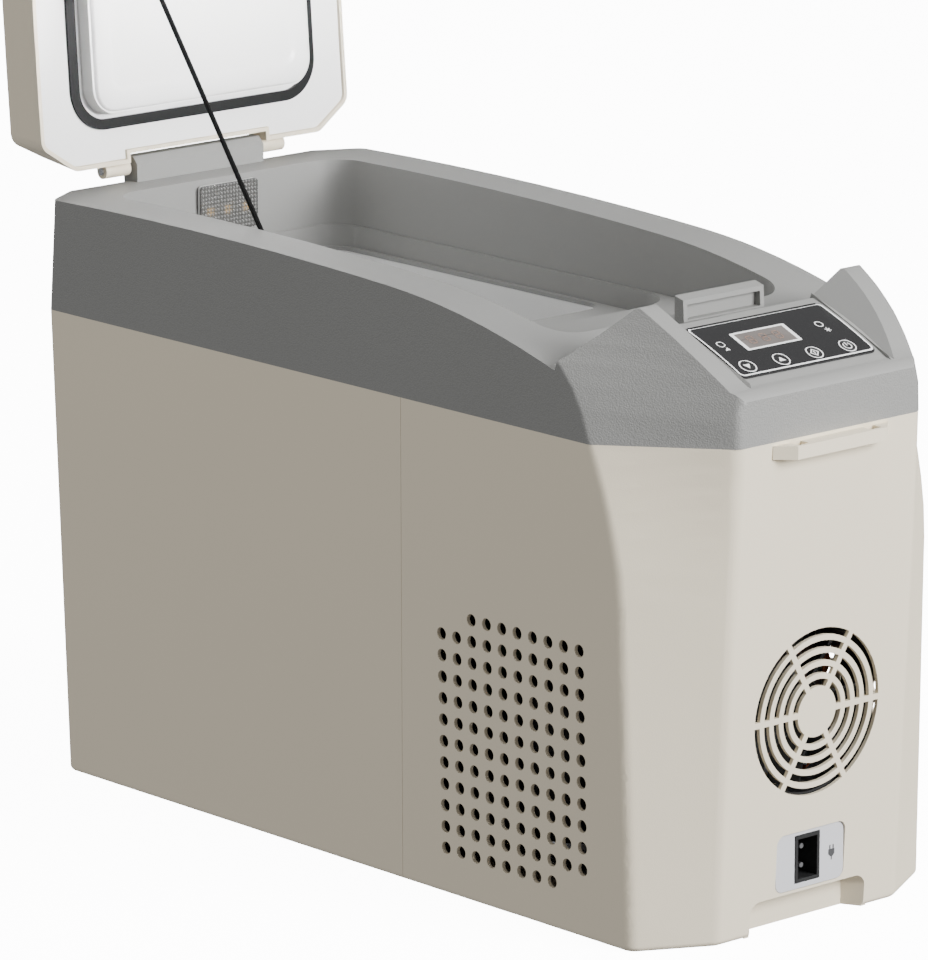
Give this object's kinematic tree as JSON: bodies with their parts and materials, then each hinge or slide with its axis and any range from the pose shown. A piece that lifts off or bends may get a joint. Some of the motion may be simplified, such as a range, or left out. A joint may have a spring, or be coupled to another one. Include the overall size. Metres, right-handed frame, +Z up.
{
  "type": "compressor cooler fridge",
  "caption": "Portable DC compressor cooler fridge with a hinged lid on a stay cord, stepped tank, angled control panel between two ears, side vents and a fan grille",
  "frame": {"origin": "on the ground under the centre of the body's footprint, at the base mount", "axes": "+Z up, +X towards the control panel end, +Y towards the long side away from the stay cord"},
  "size_m": [0.6512, 0.2664, 0.9051],
  "materials": {
    "beige_plastic": "fine moulded texture",
    "grey_plastic": "leather-grain moulded texture",
    "liner_white": "smooth",
    "tank_plastic": "smooth",
    "seal_rubber": "soft",
    "panel_black": "gloss membrane",
    "display_glass": "smoked window",
    "circuit_board": "solder mask",
    "component_black": "moulded",
    "foam": "cellular",
    "plated_steel": "zinc plated",
    "black_steel": "gloss black",
    "copper": "drawn tube",
    "aluminium": "mill finish",
    "lens_clear": "prismatic",
    "inlet_grey": "satin",
    "cord_black": "braided",
    "foot_rubber": "soft"
  },
  "bodies": {
    "cabinet": {"rear_housing": "beige_plastic", "front_housing": "beige_plastic", "collar": "grey_plastic", "panel_overlay": "panel_black", "display_module": "display_glass", "control_board": "circuit_board", "key_switches": "component_black", "latch_keeper": "grey_plastic", "lamp_base": "component_black", "lamp_lens": "lens_clear", "lamp_diodes": "liner_white", "tank_liner": "tank_plastic", "evaporator_plate": "aluminium", "foam_insulation": "foam", "temperature_sensor": "copper", "bay_divider": "component_black", "hinge_rod": "plated_steel", "stay_anchor_lower": "cord_black", "compressor_shell": "black_steel", "terminal_cover": "component_black", "compressor_bracket": "plated_steel", "compressor_saddle": "plated_steel", "compressor_grommets": "foot_rubber", "compressor_bolts": "plated_steel", "rubber_feet": "foot_rubber", "base_screws": "plated_steel", "condenser_coil": "copper", "condenser_fins": "aluminium", "fan_frame": "component_black", "fan_screws": "plated_steel", "inlet_plate": "inlet_grey", "power_socket": "component_black", "socket_pins": "plated_steel", "filter_drier": "copper", "suction_pipe": "copper", "discharge_pipe": "copper", "liquid_pipe": "copper", "capillary_tube": "copper", "driver_board": "circuit_board", "board_standoffs": "plated_steel", "heat_sink": "aluminium", "board_capacitors": "component_black"},
    "lid": {"lid_shell": "beige_plastic", "lid_liner": "liner_white", "lid_foam": "foam", "lid_gasket": "seal_rubber", "catch_pin": "plated_steel", "stay_anchor_upper": "cord_black", "stay_cord": "cord_black"},
    "catch": {"lid_catch": "grey_plastic"},
    "rotor": {"fan_rotor": "component_black"},
    "key_down_body": {"key_down": "panel_black"},
    "key_up_body": {"key_up": "panel_black"},
    "key_mode_body": {"key_mode": "panel_black"},
    "key_power_body": {"key_power": "panel_black"}
  },
  "joints": [
    {"name": "lid_hinge", "type": "hinge", "parent": "cabinet", "child": "lid", "pos_m": [-0.2932, 0, 0.391], "axis": [0, 1, 0], "range_deg": [0, 93.8], "deforming": ["stay_cord"]},
    {"name": "catch_pivot", "type": "hinge", "parent": "lid", "child": "catch", "pos_m": [-0.32213, 0, 0.88687], "axis": [0, 1, 0], "range_deg": [0, 30]},
    {"name": "fan_spin", "type": "hinge", "parent": "cabinet", "child": "rotor", "pos_m": [0.272, 0, 0.1345], "axis": [1, 0, 0], "continuous": true},
    {"name": "key_down_press", "type": "slide", "parent": "cabinet", "child": "key_down_body", "axis": [-0.4346, 0, -0.9006], "range_m": [0, 0.0004], "stiffness_N_per_m": 1500, "springref_m": -0.0001},
    {"name": "key_up_press", "type": "slide", "parent": "cabinet", "child": "key_up_body", "axis": [-0.4346, 0, -0.9006], "range_m": [0, 0.0004], "stiffness_N_per_m": 1500, "springref_m": -0.0001},
    {"name": "key_mode_press", "type": "slide", "parent": "cabinet", "child": "key_mode_body", "axis": [-0.4346, 0, -0.9006], "range_m": [0, 0.0004], "stiffness_N_per_m": 1500, "springref_m": -0.0001},
    {"name": "key_power_press", "type": "slide", "parent": "cabinet", "child": "key_power_body", "axis": [-0.4346, 0, -0.9006], "range_m": [0, 0.0004], "stiffness_N_per_m": 1500, "springref_m": -0.0001}
  ]
}
